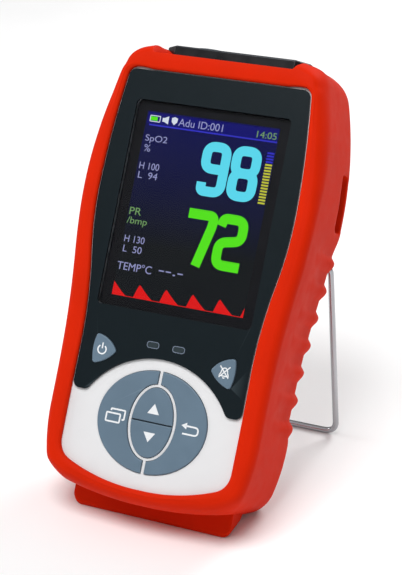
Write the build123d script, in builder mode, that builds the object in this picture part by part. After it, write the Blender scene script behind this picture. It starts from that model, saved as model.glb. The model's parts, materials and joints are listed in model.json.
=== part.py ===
from build123d import *
import os
from math import cos, radians, sin

# Handheld patient monitor in a rubber boot, leaning back on its wire bail.
# Every piece is drawn upright, from the centre of the display: X to the viewer's right,
# Y from the display into the device, Z up along its length. The last section leans the
# finished pieces back onto foot and bail and puts the origin on the table under them.

os.makedirs("parts", exist_ok=True)

# ---- Stance
LEAN = 29.5  # degrees the display leans back from upright
DISPLAY_HEIGHT = 88.64  # display centre above the table

# ---- Stations along Y, from the front of the boot to its back
LIP_FRONT = -2.2
BEZEL_FRONT = -1.4
PANEL_FRONT = -0.6
PANEL_BACK = 1.2
BOARD_FRONT = 6.0
BOARD_BACK = 7.6
PARTING = 13.0
CASE_BACK = 29.4
BOOT_BACK = 32.5
GAP = 0.1  # between pieces that only lie against each other

# ---- Boot
BOOT_TOP = 51.6
BOOT_WALL = 3.0
FRONT_ROUND = 3.0
BACK_ROUND = 6.0
RIB_COUNT = 7
RIB_TOP = -6.5
RIB_PITCH = 8.65
RIB_HEIGHT = 1.3
RIB_HALF = 2.6
RIB_FRONT, RIB_BACK = 8.0, 27.0
FOOT_WIDTH = 52.6
FOOT_FRONT = 12.6
FOOT_BACK = 24.0
FOOT_TOE = 13.8  # front edge of the face that rests on the table
FOOT_CORNER = 2.9
FOOT_ROOT = -80.0  # where the foot runs into the boot
BOOT_CLEARANCE = 1.5  # boot body above the table

# right half of each outline: the end of its straight top, then where its arcs join
BOOT_START = (21.8, BOOT_TOP)
BOOT_JOINS = (
    (32.8, 43.4),
    (38.0, 5.0),
    (36.4, -18.0),
    (34.4, -47.0),
    (34.3, -64.0),
    (32.6, -79.0),
    (24.5, -87.0),
    (0, -89.58),
)
OPENING_START = (27.1, 42.0)
OPENING_JOINS = (
    (30.4, 39.1),
    (32.8, 5.0),
    (30.9, -17.5),
    (28.5, -46.0),
    (28.5, -74.3),
    (24.2, -80.65),
    (0, -85.2),
)

# ---- Case, bezel and window
CASE_INSET = BOOT_WALL + GAP
WALL = 1.8
BEZEL_INSET = 1.0  # white rim between the boot and the bezel
ARCH_RADIUS = 26.5
ARCH_CENTRE = -71.7
LOBE_BOTTOM = -58.3
WINDOW_WIDTH, WINDOW_HEIGHT, WINDOW_CORNER = 50.4, 63.8, 1.6
LENS_MARGIN = 1.0
LENS_THICKNESS = 0.8
LCD_WIDTH, LCD_HEIGHT = 48.0, 65.0

# ---- Keys
PAD_CENTRE = -64.2
PAD_X, PAD_Z = 17.86, 15.6
RING_X, RING_Z = 7.6, 11.5
RING_WIDTH = 0.8
BAR_WIDTH = 0.9
KEY_GAP = 0.12
KEY_TRAVEL = 0.8
KEY_PROUD = 0.5
FLANGE_FRONT = PANEL_BACK + 0.05
FLANGE_THICKNESS = 1.0
STEM_RADIUS = 1.5
DOME_RADIUS, DOME_HEIGHT = 1.8, 0.5
SIDE_KEY_STEM = (19.9, -45.4)
CRESCENT_STEM = 12.6
OVAL_STEM = 5.0
LED_X, LED_Z = 4.2, -41.4
LED_LENGTH, LED_WIDTH = 3.5, 1.5

# ---- Fasteners
CASE_BOSSES = ((-23.5, 41.5), (23.5, 41.5), (-25.6, -74.0), (25.6, -74.0))
BOARD_BOSSES = ((-29.2, 4.0), (29.2, 4.0), (-26.0, -58.0), (26.0, -58.0))
BOSS_RADIUS = 2.6
SCREW_RADIUS = 1.1

# ---- Battery
CELL_RADIUS, CELL_LENGTH, CELL_PITCH = 7.1, 50.0, 15.0
CELL_Y = 18.6
CELL_BOTTOM = -56.5
BAY_WIDTH = 46.6
BAY_BOTTOM, BAY_TOP = -60.5, -3.0
BAY_FLOOR = 9.4
DOOR_WIDTH, DOOR_THICKNESS = 50.4, 1.6
DOOR_BOTTOM, DOOR_TOP = -63.0, -0.5

# ---- Connectors
BLOCK_HALF = 23.75
BLOCK_CHAMFER = 4.0
BLOCK_FRONT, BLOCK_BACK = 7.1, 24.4
BLOCK_TOP = 51.4
HOLLOW_FLOOR = ((LIP_FRONT, 46.6), (0.2, 48.2), (BLOCK_FRONT, 48.9))  # depth and height of its arc
HOLLOW_WALL = 0.9  # rubber under the hollow in front of the block
SOCKET_Y = 15.8
SPO2_X, SPO2_BORE, SPO2_OUTER = -9.5, 4.6, 6.4
TEMP_X, TEMP_BORE, TEMP_OUTER = 10.5, 3.23, 5.0
SOCKET_DEPTH = 5.4
SOCKET_TURN = 7  # of the seams and the contact holes about the axis
SPO2_CONTACTS = 6
CONTACT_CIRCLE, CONTACT_RADIUS, CONTACT_DEPTH = 2.7, 0.6, 1.2
SLOT_Y, SLOT_Z = 24.4, 12.0
SLOT_WIDTH, SLOT_LENGTH = 7.0, 18.0

# ---- Bail
WIRE_RADIUS = 1.0
BAIL_HALF = 35.0
BAIL_STUB = 26.5
PIVOT_Y, PIVOT_Z = 32.9, -5.9
OPEN_ANGLE = 40.0  # between the open bail and the length of the device
HOLE_CLEARANCE = 0.05
LUG_INNER, LUG_OUTER = 25.8, 31.5


def front(depth):
    """Plane at one depth, seen by the user: local X to the right, local Y up the device."""
    return Plane(origin=(0, depth, 0), x_dir=(1, 0, 0), z_dir=(0, -1, 0))


def side(x):
    """Plane across the device, seen from the right: local X is depth, local Y is up."""
    return Plane(origin=(x, 0, 0), x_dir=(0, 1, 0), z_dir=(1, 0, 0))


def table_z(depth, height=0.0):
    """Z of the point at this depth that stands this high above the table."""
    return (height - DISPLAY_HEIGHT + depth * sin(radians(LEAN))) / cos(radians(LEAN))


# ---- Outlines, drawn flat on X and Y and added to the sketch of the piece that needs them
def waisted(start, joins, inset):
    """Symmetric outline of tangent arcs, from its straight top down to its middle below."""
    with BuildSketch() as profile:
        with BuildLine():
            piece = Line((0, start[1]), start)
            for join in joins:
                piece = TangentArc(piece @ 1, join, tangent=piece % 1)
            mirror(about=Plane.YZ)
        make_face()
        if inset:
            offset(amount=-inset, kind=Kind.INTERSECTION)
    return profile.sketch


def outline(inset=0.0):
    """Outline of the boot, moved inwards by inset."""
    return waisted(BOOT_START, BOOT_JOINS, inset)


def opening(inset=0.0):
    """Opening in the front of the boot, moved inwards by inset."""
    return waisted(OPENING_START, OPENING_JOINS, inset)


def half_width(z):
    """Half width of the boot at one height."""
    across = Edge.make_line((0, z), (60, z))
    return outline().face().intersect(across).edges()[0].bounding_box().max.X


def side_key(sign, grow=0.0):
    """Three-sided key with bulging sides, left (-1) or right (1) of the status lights."""
    with BuildSketch() as profile:
        with BuildLine():
            ThreePointArc((sign * 22.6, -40.9), (sign * 18.2, -42.4), (sign * 15.5, -45.4))
            ThreePointArc((sign * 15.5, -45.4), (sign * 18.4, -48.4), (sign * 22.4, -50.1))
            ThreePointArc((sign * 22.4, -50.1), (sign * 23.25, -45.5), (sign * 22.6, -40.9))
        make_face()
        fillet(profile.vertices(), 0.9)
        if grow:
            offset(amount=grow)
    return profile.sketch


def crescent(sign, grow=0.0, rim=0.0):
    """Left (-1) or right (1) half of the keypad disc, around the oval ring."""
    with BuildSketch() as profile:
        with Locations((0, PAD_CENTRE)):
            Ellipse(PAD_X + grow + rim, PAD_Z + grow + rim)
            Ellipse(RING_X - grow, RING_Z - grow, mode=Mode.SUBTRACT)
        with Locations((sign * (BAR_WIDTH / 2 - grow - 50), PAD_CENTRE)):
            Rectangle(100, 100, mode=Mode.SUBTRACT)
    return profile.sketch


def oval_half(sign, grow=0.0, split=0.0):
    """Upper (1) or lower (-1) half of the oval inside the ring."""
    with BuildSketch() as profile:
        with Locations((0, PAD_CENTRE)):
            Ellipse(RING_X - RING_WIDTH + grow, RING_Z - RING_WIDTH + grow)
        with Locations((0, PAD_CENTRE - sign * (25 - split))):
            Rectangle(50, 50, mode=Mode.SUBTRACT)
    return profile.sketch


def block_footprint(grow=0.0):
    """Footprint of the connector block, chamfered at its four corners."""
    with BuildSketch() as profile:
        with Locations((0, (BLOCK_FRONT + BLOCK_BACK) / 2)):
            Rectangle(2 * (BLOCK_HALF + grow), BLOCK_BACK - BLOCK_FRONT + 2 * grow)
        chamfer(profile.vertices(), BLOCK_CHAMFER + 0.6 * grow)
    return profile.sketch


def below(height):
    """Region lower than a height above the table, behind the toe of the foot."""
    with BuildSketch() as profile:
        with BuildLine():
            Polyline(
                (FOOT_TOE, table_z(FOOT_TOE, height)),
                (60, table_z(60, height)),
                (60, -140),
                (FOOT_TOE, -140),
                close=True,
            )
        make_face()
    return profile.sketch


def hollow(drop=0.0):
    """Region above the hollow in front of the connector block, its floor moved inwards by drop."""
    start, middle, end = [(y, z - drop) for y, z in HOLLOW_FLOOR]
    with BuildSketch() as profile:
        with BuildLine():
            ThreePointArc(start, middle, end)
            Polyline(end, (end[0], 60), (-10, 60), (-10, start[1]), start)
        make_face()
    return profile.sketch


# ---- Boot: rubber sleeve with ribbed sides and a foot under its lower end
with BuildPart() as boot_room:
    with BuildSketch(front(PANEL_FRONT - GAP)):
        add(outline(BOOT_WALL))
    extrude(amount=PANEL_FRONT - GAP - (CASE_BACK + GAP))
    with BuildSketch(side(-60)):
        add(below(BOOT_CLEARANCE + BOOT_WALL))
    extrude(amount=120, mode=Mode.SUBTRACT)
    with BuildSketch(side(-BLOCK_HALF)):
        add(hollow(HOLLOW_WALL))
    extrude(amount=2 * BLOCK_HALF, mode=Mode.SUBTRACT)

# wedge under the lower end, whose lower face lies flat on the table
with BuildPart() as foot:
    with BuildSketch(front(FOOT_FRONT)) as tread:
        with Locations((0, FOOT_ROOT)):
            Rectangle(FOOT_WIDTH, FOOT_ROOT - table_z(FOOT_TOE), align=(Align.CENTER, Align.MAX))
        fillet(tread.vertices().group_by(Axis.Y)[0], FOOT_CORNER)
    extrude(amount=FOOT_FRONT - FOOT_BACK)
    with BuildSketch(side(-60)):
        add(below(0))
    extrude(amount=120, mode=Mode.SUBTRACT)

with BuildPart() as boot:
    with BuildSketch(front(LIP_FRONT)):
        add(outline())
    extrude(amount=LIP_FRONT - BOOT_BACK)
    fillet(boot.edges().group_by(Axis.Y)[0], FRONT_ROUND)
    fillet(boot.edges().group_by(Axis.Y)[-1], BACK_ROUND)
    # lower end kept clear of the table when the device leans back
    with BuildSketch(side(-60)):
        add(below(BOOT_CLEARANCE))
    extrude(amount=120, mode=Mode.SUBTRACT)
    # hollow in front of the connector block
    with BuildSketch(side(-BLOCK_HALF)):
        add(hollow())
    extrude(amount=2 * BLOCK_HALF, mode=Mode.SUBTRACT)
    # grip ribs, standing out of both sides
    for index in range(RIB_COUNT):
        rib_z = RIB_TOP - index * RIB_PITCH
        rib_x = half_width(rib_z)
        with BuildSketch(front(RIB_FRONT)):
            with Locations((rib_x, rib_z), (-rib_x, rib_z)):
                Ellipse(RIB_HEIGHT, RIB_HALF)
        extrude(amount=RIB_FRONT - RIB_BACK)
    add(foot.part)
    # room for the case, and the openings
    add(boot_room.part, mode=Mode.SUBTRACT)
    with BuildSketch(front(LIP_FRONT - 1)):
        add(opening())
    extrude(amount=-5, mode=Mode.SUBTRACT)
    with BuildSketch(Plane.XY.offset(40)):
        add(block_footprint(GAP))
    extrude(amount=20, mode=Mode.SUBTRACT)
    with BuildSketch(side(BLOCK_HALF)):
        with Locations((SLOT_Y, SLOT_Z)):
            RectangleRounded(SLOT_WIDTH, SLOT_LENGTH, 2.4)
    extrude(amount=40, mode=Mode.SUBTRACT)
    with BuildSketch(front(BOOT_BACK + 1)):
        with Locations((0, -14)):
            RectangleRounded(54, 108, 6)
        with Locations((0, PIVOT_Z)):
            RectangleRounded(2 * LUG_OUTER + 2, 14, 2)
    extrude(amount=BOOT_BACK - CASE_BACK + 2, mode=Mode.SUBTRACT)
    with BuildSketch(side(-50)):
        with Locations((PIVOT_Y, PIVOT_Z)):
            Rectangle(2 * WIRE_RADIUS + 1.2, 2 * WIRE_RADIUS + 5)
    extrude(amount=100, mode=Mode.SUBTRACT)

# ---- Front case: white shell with the key and window openings
with BuildPart() as front_case:
    with BuildSketch(front(PANEL_FRONT)):
        add(outline(CASE_INSET))
    extrude(amount=PANEL_FRONT - (PARTING - 0.2))
    with BuildSketch(side(-BLOCK_HALF)):
        add(hollow(HOLLOW_WALL + GAP))
    extrude(amount=2 * BLOCK_HALF, mode=Mode.SUBTRACT)
    with BuildSketch(front(PANEL_BACK)):
        add(outline(CASE_INSET + WALL))
    extrude(amount=PANEL_BACK - PARTING, mode=Mode.SUBTRACT)
    for boss in CASE_BOSSES:
        with BuildSketch(front(PANEL_BACK - 0.5)):
            with Locations(boss):
                Circle(BOSS_RADIUS)
        extrude(amount=PANEL_BACK - 0.5 - (PARTING - 0.2))
    for boss in BOARD_BOSSES:
        with BuildSketch(front(PANEL_BACK - 0.5)):
            with Locations(boss):
                Circle(2.0)
        extrude(amount=PANEL_BACK - 0.5 - (BOARD_FRONT - 0.05))
    with BuildSketch(front(PARTING)):
        with Locations(*CASE_BOSSES):
            Circle(SCREW_RADIUS + HOLE_CLEARANCE)
    extrude(amount=10, mode=Mode.SUBTRACT)
    with BuildSketch(front(BOARD_FRONT)):
        with Locations(*BOARD_BOSSES):
            Circle(0.85)
    extrude(amount=3.6, mode=Mode.SUBTRACT)
    with BuildSketch(front(-5)):
        RectangleRounded(WINDOW_WIDTH + 2 * LENS_MARGIN + 0.4, WINDOW_HEIGHT + 2 * LENS_MARGIN + 0.4, 2.6)
        with Locations((-LED_X, LED_Z), (LED_X, LED_Z)):
            SlotOverall(LED_LENGTH + 0.2, LED_WIDTH + 0.2)
    extrude(amount=-8, mode=Mode.SUBTRACT)
    for sign in (-1, 1):
        with BuildSketch(front(-5)):
            add(crescent(sign))
        extrude(amount=-8, mode=Mode.SUBTRACT)
        with BuildSketch(front(-5)):
            add(oval_half(sign))
        extrude(amount=-8, mode=Mode.SUBTRACT)
        with BuildSketch(front(-5)):
            add(side_key(sign, KEY_GAP))
        extrude(amount=-8, mode=Mode.SUBTRACT)
    with BuildSketch(Plane.XY.offset(40)):
        add(block_footprint(GAP))
    extrude(amount=20, mode=Mode.SUBTRACT)

# ---- Bezel: dark trim around the window, ending in two lobes above the keypad
with BuildPart() as bezel:
    with BuildSketch(front(BEZEL_FRONT)) as trim:
        add(opening(BEZEL_INSET))
        with Locations((0, ARCH_CENTRE)):
            Circle(ARCH_RADIUS, mode=Mode.SUBTRACT)
        with Locations((0, LOBE_BOTTOM - 30)):
            Rectangle(100, 60, mode=Mode.SUBTRACT)
        fillet(trim.vertices().group_by(Axis.Y)[0], 2.2)
        RectangleRounded(WINDOW_WIDTH, WINDOW_HEIGHT, WINDOW_CORNER, mode=Mode.SUBTRACT)
        with Locations((-LED_X, LED_Z), (LED_X, LED_Z)):
            SlotOverall(LED_LENGTH + 0.2, LED_WIDTH + 0.2, mode=Mode.SUBTRACT)
    extrude(amount=BEZEL_FRONT - PANEL_FRONT)
    for sign in (-1, 1):
        with BuildSketch(front(-5)):
            add(side_key(sign, KEY_GAP))
        extrude(amount=-8, mode=Mode.SUBTRACT)

# ---- Window, display and the frame that holds it
with BuildPart() as display_window:
    with BuildSketch(front(PANEL_FRONT + 0.02)):
        RectangleRounded(WINDOW_WIDTH + 2 * LENS_MARGIN, WINDOW_HEIGHT + 2 * LENS_MARGIN, 2.4)
    extrude(amount=-LENS_THICKNESS)

LCD_FRONT = PANEL_FRONT + LENS_THICKNESS + 0.08
with BuildPart() as lcd_panel:
    with BuildSketch(front(LCD_FRONT)):
        Rectangle(LCD_WIDTH, LCD_HEIGHT)
    extrude(amount=-1.2)

with BuildPart() as backlight:
    with BuildSketch(front(LCD_FRONT + 1.25)):
        Rectangle(LCD_WIDTH, LCD_HEIGHT)
    extrude(amount=-1.2)

with BuildPart() as lcd_frame:
    with BuildSketch(front(PANEL_BACK + GAP)):
        RectangleRounded(53.6, 69.0, 1.5)
    extrude(amount=-2.9)
    with BuildSketch(front(PANEL_BACK)):
        Rectangle(LCD_WIDTH + 0.4, LCD_HEIGHT + 0.4)
    extrude(amount=-1.6, mode=Mode.SUBTRACT)

# ---- Keys: a cap through the panel, a flange behind it and a stem over its dome
STEM_END = BOARD_FRONT - DOME_HEIGHT - 0.1 - KEY_TRAVEL
STEM_FRONT = FLANGE_FRONT + FLANGE_THICKNESS


def press_stem(place):
    """Stem from the flange of a key back towards its dome."""
    with BuildSketch(front(STEM_FRONT - 0.2)) as stem:
        with Locations(place):
            Circle(STEM_RADIUS)
    extrude(stem.sketch, amount=STEM_FRONT - 0.2 - STEM_END)


def side_button(sign):
    """Three-sided key beside the keypad, left (-1) or right (1)."""
    with BuildPart() as key:
        with BuildSketch(front(BEZEL_FRONT - KEY_PROUD)):
            add(side_key(sign))
        extrude(amount=BEZEL_FRONT - KEY_PROUD - STEM_FRONT)
        chamfer(key.faces().sort_by(Axis.Y)[0].edges(), 0.2)
        with BuildSketch(front(FLANGE_FRONT)):
            add(side_key(sign, 0.8))
        extrude(amount=-FLANGE_THICKNESS)
        press_stem((sign * SIDE_KEY_STEM[0], SIDE_KEY_STEM[1]))
    return key


def crescent_button(sign):
    """Left (-1) or right (1) half of the keypad disc."""
    with BuildPart() as key:
        with BuildSketch(front(PANEL_FRONT - KEY_PROUD)):
            add(crescent(sign, -KEY_GAP))
        extrude(amount=PANEL_FRONT - KEY_PROUD - STEM_FRONT)
        chamfer(key.faces().sort_by(Axis.Y)[0].edges(), 0.2)
        with BuildSketch(front(FLANGE_FRONT)):
            add(crescent(sign, -KEY_GAP, 0.9))
        extrude(amount=-FLANGE_THICKNESS)
        press_stem((sign * CRESCENT_STEM, PAD_CENTRE))
    return key


def oval_button(sign):
    """Upper (1) or lower (-1) half of the oval in the middle."""
    with BuildPart() as key:
        with BuildSketch(front(PANEL_FRONT - KEY_PROUD)):
            add(oval_half(sign, -KEY_GAP, 0.15))
        extrude(amount=PANEL_FRONT - KEY_PROUD - STEM_FRONT)
        chamfer(key.faces().sort_by(Axis.Y)[0].edges(), 0.2)
        with BuildSketch(front(FLANGE_FRONT)):
            add(oval_half(sign, 0.3, 0.15))
        extrude(amount=-FLANGE_THICKNESS)
        press_stem((0, PAD_CENTRE + sign * OVAL_STEM))
    return key


power_key = side_button(-1)
alarm_silence_key = side_button(1)
menu_key = crescent_button(-1)
return_key = crescent_button(1)
up_key = oval_button(1)
down_key = oval_button(-1)

STEM_PLACES = [
    (-SIDE_KEY_STEM[0], SIDE_KEY_STEM[1]),
    (SIDE_KEY_STEM[0], SIDE_KEY_STEM[1]),
    (-CRESCENT_STEM, PAD_CENTRE),
    (CRESCENT_STEM, PAD_CENTRE),
    (0, PAD_CENTRE + OVAL_STEM),
    (0, PAD_CENTRE - OVAL_STEM),
]
MAT_FRONT = STEM_FRONT + KEY_TRAVEL + 0.1
MAT_CENTRE, MAT_WIDTH, MAT_HEIGHT = -61.5, 44.6, 37.8

with BuildPart() as keypad_mat:
    with BuildSketch(front(MAT_FRONT)):
        with Locations((0, MAT_CENTRE)):
            RectangleRounded(MAT_WIDTH, MAT_HEIGHT, 3.0)
        with Locations(*STEM_PLACES):
            Circle(STEM_RADIUS + 0.3, mode=Mode.SUBTRACT)
    extrude(amount=-0.8)
    with BuildSketch(front(MAT_FRONT + 0.7)):
        with Locations((0, MAT_CENTRE)):
            RectangleRounded(MAT_WIDTH, MAT_HEIGHT, 3.0)
            RectangleRounded(MAT_WIDTH - 1, MAT_HEIGHT - 1, 2.5, mode=Mode.SUBTRACT)
    extrude(amount=MAT_FRONT + 0.7 - (BOARD_FRONT - 0.02))

with BuildPart() as snap_domes:
    for place in STEM_PLACES:
        with BuildSketch(front(BOARD_FRONT - 0.02)):
            with Locations(place):
                Circle(DOME_RADIUS)
        extrude(amount=DOME_HEIGHT - 0.02, taper=40)

# ---- Status lights
with BuildPart() as light_pipes:
    with BuildSketch(front(BEZEL_FRONT - 0.15)):
        with Locations((-LED_X, LED_Z), (LED_X, LED_Z)):
            SlotOverall(LED_LENGTH, LED_WIDTH)
    extrude(amount=BEZEL_FRONT - 0.15 - 4.8)

with BuildPart() as status_leds:
    with BuildSketch(front(4.95)):
        with Locations((-LED_X, LED_Z), (LED_X, LED_Z)):
            Rectangle(1.6, 0.8)
    extrude(amount=4.95 - (BOARD_FRONT - 0.02))

# ---- Main board and what is soldered to it
with BuildPart() as main_board:
    with BuildSketch(front(BOARD_FRONT)):
        add(outline(6.6))
        with Locations((0, 44 + 10)):
            Rectangle(100, 20, mode=Mode.SUBTRACT)
        with Locations(*CASE_BOSSES):
            Circle(BOSS_RADIUS + 0.6, mode=Mode.SUBTRACT)
        with Locations(*BOARD_BOSSES):
            Circle(1.1, mode=Mode.SUBTRACT)
    extrude(amount=BOARD_FRONT - BOARD_BACK)

with BuildPart() as processor:
    with BuildSketch(front(BOARD_BACK + 0.02)):
        with Locations((6, 16)):
            Rectangle(14, 14)
    extrude(amount=-1.4)
    chamfer(processor.faces().sort_by(Axis.Y)[-1].edges(), 0.2)

with BuildPart() as board_chips:
    with BuildSketch(front(BOARD_BACK + 0.02)):
        with Locations((-12, 20), (-12, 10)):
            Rectangle(8, 6)
        with Locations((20, 24), (20, 12)):
            Rectangle(5, 5)
    extrude(amount=-1.2)

with BuildPart() as display_connector:
    with BuildSketch(front(BOARD_BACK + 0.02)):
        with Locations((0, 34)):
            Rectangle(20, 4)
    extrude(amount=-2.0)

with BuildPart() as board_screws:
    with BuildSketch(front(BOARD_BACK + 0.05)):
        with Locations(*BOARD_BOSSES):
            Circle(1.8)
    extrude(amount=-1.2)
    with BuildSketch(front(BOARD_BACK + 0.2)):
        with Locations(*BOARD_BOSSES):
            Circle(0.8)
    extrude(amount=4.8)

# ---- Gasket between the two case halves
with BuildPart() as case_gasket:
    with BuildSketch(front(PARTING - 0.16)):
        add(outline(CASE_INSET + 0.2))
    extrude(amount=-0.32)
    with BuildSketch(front(PARTING - 1)):
        add(outline(CASE_INSET + WALL - 0.3))
    extrude(amount=-2, mode=Mode.SUBTRACT)
    with BuildSketch(Plane.XY.offset(40)):
        add(block_footprint(GAP))
    extrude(amount=20, mode=Mode.SUBTRACT)

# ---- Rear case: back shell with the battery bay, lugs for the bail and a speaker grille
SPEAKER_Z = 24.0
with BuildPart() as case_room:
    with BuildSketch(front(PARTING)):
        add(outline(CASE_INSET + WALL))
    extrude(amount=PARTING - (CASE_BACK - WALL))
    with BuildSketch(side(-60)):
        add(below(BOOT_CLEARANCE + CASE_INSET + WALL))
    extrude(amount=120, mode=Mode.SUBTRACT)

with BuildPart() as rear_case:
    with BuildSketch(front(PARTING + 0.2)):
        add(outline(CASE_INSET))
    extrude(amount=PARTING + 0.2 - CASE_BACK)
    with BuildSketch(side(-60)):
        add(below(BOOT_CLEARANCE + CASE_INSET))
    extrude(amount=120, mode=Mode.SUBTRACT)
    add(case_room.part, mode=Mode.SUBTRACT)
    for boss in CASE_BOSSES:
        with BuildSketch(front(PARTING + 0.2)):
            with Locations(boss):
                Circle(BOSS_RADIUS)
        extrude(amount=PARTING + 0.2 - (CASE_BACK - 1))
    # walls and floor of the battery bay
    with BuildSketch(front(BAY_FLOOR)):
        with Locations((0, (BAY_BOTTOM + BAY_TOP) / 2)):
            Rectangle(BAY_WIDTH + 2.8, BAY_TOP - BAY_BOTTOM + 2.8)
    extrude(amount=BAY_FLOOR - (CASE_BACK - 0.5))
    with BuildSketch(front(BAY_FLOOR + 1.2)):
        with Locations((0, (BAY_BOTTOM + BAY_TOP) / 2)):
            Rectangle(BAY_WIDTH, BAY_TOP - BAY_BOTTOM)
    extrude(amount=-30, mode=Mode.SUBTRACT)
    with BuildSketch(front(CASE_BACK + 1)):
        with Locations((0, (DOOR_BOTTOM + DOOR_TOP) / 2)):
            RectangleRounded(DOOR_WIDTH + 0.3, DOOR_TOP - DOOR_BOTTOM + 0.3, 2.0)
    extrude(amount=DOOR_THICKNESS + 0.05 + 1, mode=Mode.SUBTRACT)
    # lugs that hold the ends of the bail
    for sign in (-1, 1):
        with BuildSketch(side(sign * LUG_INNER)):
            with Locations((PIVOT_Y, PIVOT_Z)):
                Circle(2.6)
            with Locations(((PIVOT_Y + CASE_BACK) / 2 - 0.25, PIVOT_Z)):
                Rectangle(PIVOT_Y - CASE_BACK + 0.5, 5.2)
        extrude(amount=sign * (LUG_OUTER - LUG_INNER))
    with BuildSketch(side(-50)):
        with Locations((PIVOT_Y, PIVOT_Z)):
            Circle(WIRE_RADIUS + HOLE_CLEARANCE)
    extrude(amount=100, mode=Mode.SUBTRACT)
    # screw holes from the back
    with BuildSketch(front(CASE_BACK + 1)):
        with Locations(*CASE_BOSSES):
            Circle(SCREW_RADIUS + 0.3)
    extrude(amount=30, mode=Mode.SUBTRACT)
    with BuildSketch(front(CASE_BACK + 1)):
        with Locations(*CASE_BOSSES):
            Circle(2.3)
    extrude(amount=2.6, mode=Mode.SUBTRACT)
    # speaker grille
    with BuildSketch(front(CASE_BACK + 1)):
        with Locations((0, SPEAKER_Z)):
            with GridLocations(0, 2.6, 1, 5):
                SlotOverall(13, 1.3)
    extrude(amount=5, mode=Mode.SUBTRACT)
    # openings for the connector block and the data port
    with BuildSketch(Plane.XY.offset(40)):
        add(block_footprint(GAP))
    extrude(amount=20, mode=Mode.SUBTRACT)
    with BuildSketch(side(28)):
        with Locations((SLOT_Y, SLOT_Z)):
            Rectangle(4.0, 8.8)
    extrude(amount=12, mode=Mode.SUBTRACT)

# ---- Battery door, cells and contacts
with BuildPart() as battery_door:
    with BuildSketch(front(CASE_BACK)):
        with Locations((0, (DOOR_BOTTOM + DOOR_TOP) / 2)):
            RectangleRounded(DOOR_WIDTH, DOOR_TOP - DOOR_BOTTOM, 1.9)
    extrude(amount=DOOR_THICKNESS)
    with BuildSketch(front(CASE_BACK)):
        with Locations((0, DOOR_TOP - 8)):
            with GridLocations(0, 2.4, 1, 4):
                SlotOverall(18, 1.2)
    extrude(amount=-0.5)
    with BuildSketch(front(CASE_BACK - DOOR_THICKNESS)):
        with Locations((0, (BAY_BOTTOM + BAY_TOP) / 2)):
            Rectangle(BAY_WIDTH - 1, 6)
    extrude(amount=1.0)

CELL_XS = (-CELL_PITCH, 0, CELL_PITCH)
with BuildPart() as battery_cells:
    for cell_x in CELL_XS:
        with BuildSketch(Plane.XY.offset(CELL_BOTTOM)):
            with Locations((cell_x, CELL_Y)):
                Circle(CELL_RADIUS)
        extrude(amount=CELL_LENGTH - 1.2)
        with BuildSketch(Plane.XY.offset(CELL_BOTTOM + CELL_LENGTH - 1.2)):
            with Locations((cell_x, CELL_Y)):
                Circle(2.7)
        extrude(amount=1.2)

with BuildPart() as battery_contacts:
    for cell_x in CELL_XS:
        with BuildSketch(Plane.XY.offset(BAY_TOP - 0.5)):
            with Locations((cell_x, CELL_Y)):
                RectangleRounded(11, 11, 1)
        extrude(amount=0.4)
        with BuildSketch(Plane.XY.offset(BAY_BOTTOM + 0.1)):
            with Locations((cell_x, CELL_Y)):
                RectangleRounded(11, 11, 1)
        extrude(amount=0.4)
        with BuildSketch(Plane.XY.offset(BAY_BOTTOM + 0.5)):
            with Locations((cell_x, CELL_Y)):
                Circle(4.2)
        extrude(amount=CELL_BOTTOM - BAY_BOTTOM - 0.55, taper=25)

# ---- Speaker behind its grille
with BuildPart() as speaker:
    with BuildSketch(front(CASE_BACK - WALL - 0.05)):
        with Locations((0, SPEAKER_Z)):
            Circle(9.0)
    extrude(amount=2.4)
    with BuildSketch(front(CASE_BACK - WALL - 2.45)):
        with Locations((0, SPEAKER_Z)):
            Circle(6.0)
    extrude(amount=1.8)

# ---- Connector block on top, with the probe sockets
SOCKET_FLOOR = BLOCK_TOP + 0.4 - SOCKET_DEPTH
with BuildPart() as connector_block:
    with BuildSketch(Plane.XY.offset(44.6)):
        add(block_footprint())
    extrude(amount=BLOCK_TOP - 44.6)
    chamfer(connector_block.faces().sort_by(Axis.Z)[-1].edges(), 0.4)
    for x, radius in ((SPO2_X, SPO2_OUTER), (TEMP_X, TEMP_OUTER)):
        with BuildSketch(Plane.XY.offset(BLOCK_TOP)):
            with Locations((x, SOCKET_Y)):
                Circle(radius + HOLE_CLEARANCE)
        extrude(amount=-20, mode=Mode.SUBTRACT)


def probe_socket(x, bore, outer, contact_count):
    """Round socket let into the block, with a collar on its top face and holes for its contacts."""
    place = Location((x, SOCKET_Y, 0), (0, 0, SOCKET_TURN))
    with BuildPart() as socket:
        with BuildSketch(Plane.XY.offset(BLOCK_TOP + 0.02)):
            with Locations(place):
                Circle(outer + 0.9)
        extrude(amount=0.4)
        with BuildSketch(Plane.XY.offset(BLOCK_TOP + 0.1)):
            with Locations(place):
                Circle(outer)
        extrude(amount=44.6 - BLOCK_TOP - 0.1)
        with BuildSketch(Plane.XY.offset(SOCKET_FLOOR)):
            with Locations(place):
                Circle(bore)
        extrude(amount=20, mode=Mode.SUBTRACT)
        if contact_count:
            with BuildSketch(Plane.XY.offset(SOCKET_FLOOR)):
                with Locations(place):
                    with PolarLocations(CONTACT_CIRCLE, contact_count):
                        Circle(CONTACT_RADIUS + HOLE_CLEARANCE)
            extrude(amount=-CONTACT_DEPTH, mode=Mode.SUBTRACT)
    return socket


spo2_socket = probe_socket(SPO2_X, SPO2_BORE, SPO2_OUTER, SPO2_CONTACTS)
temp_jack = probe_socket(TEMP_X, TEMP_BORE, TEMP_OUTER, 0)

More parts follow.
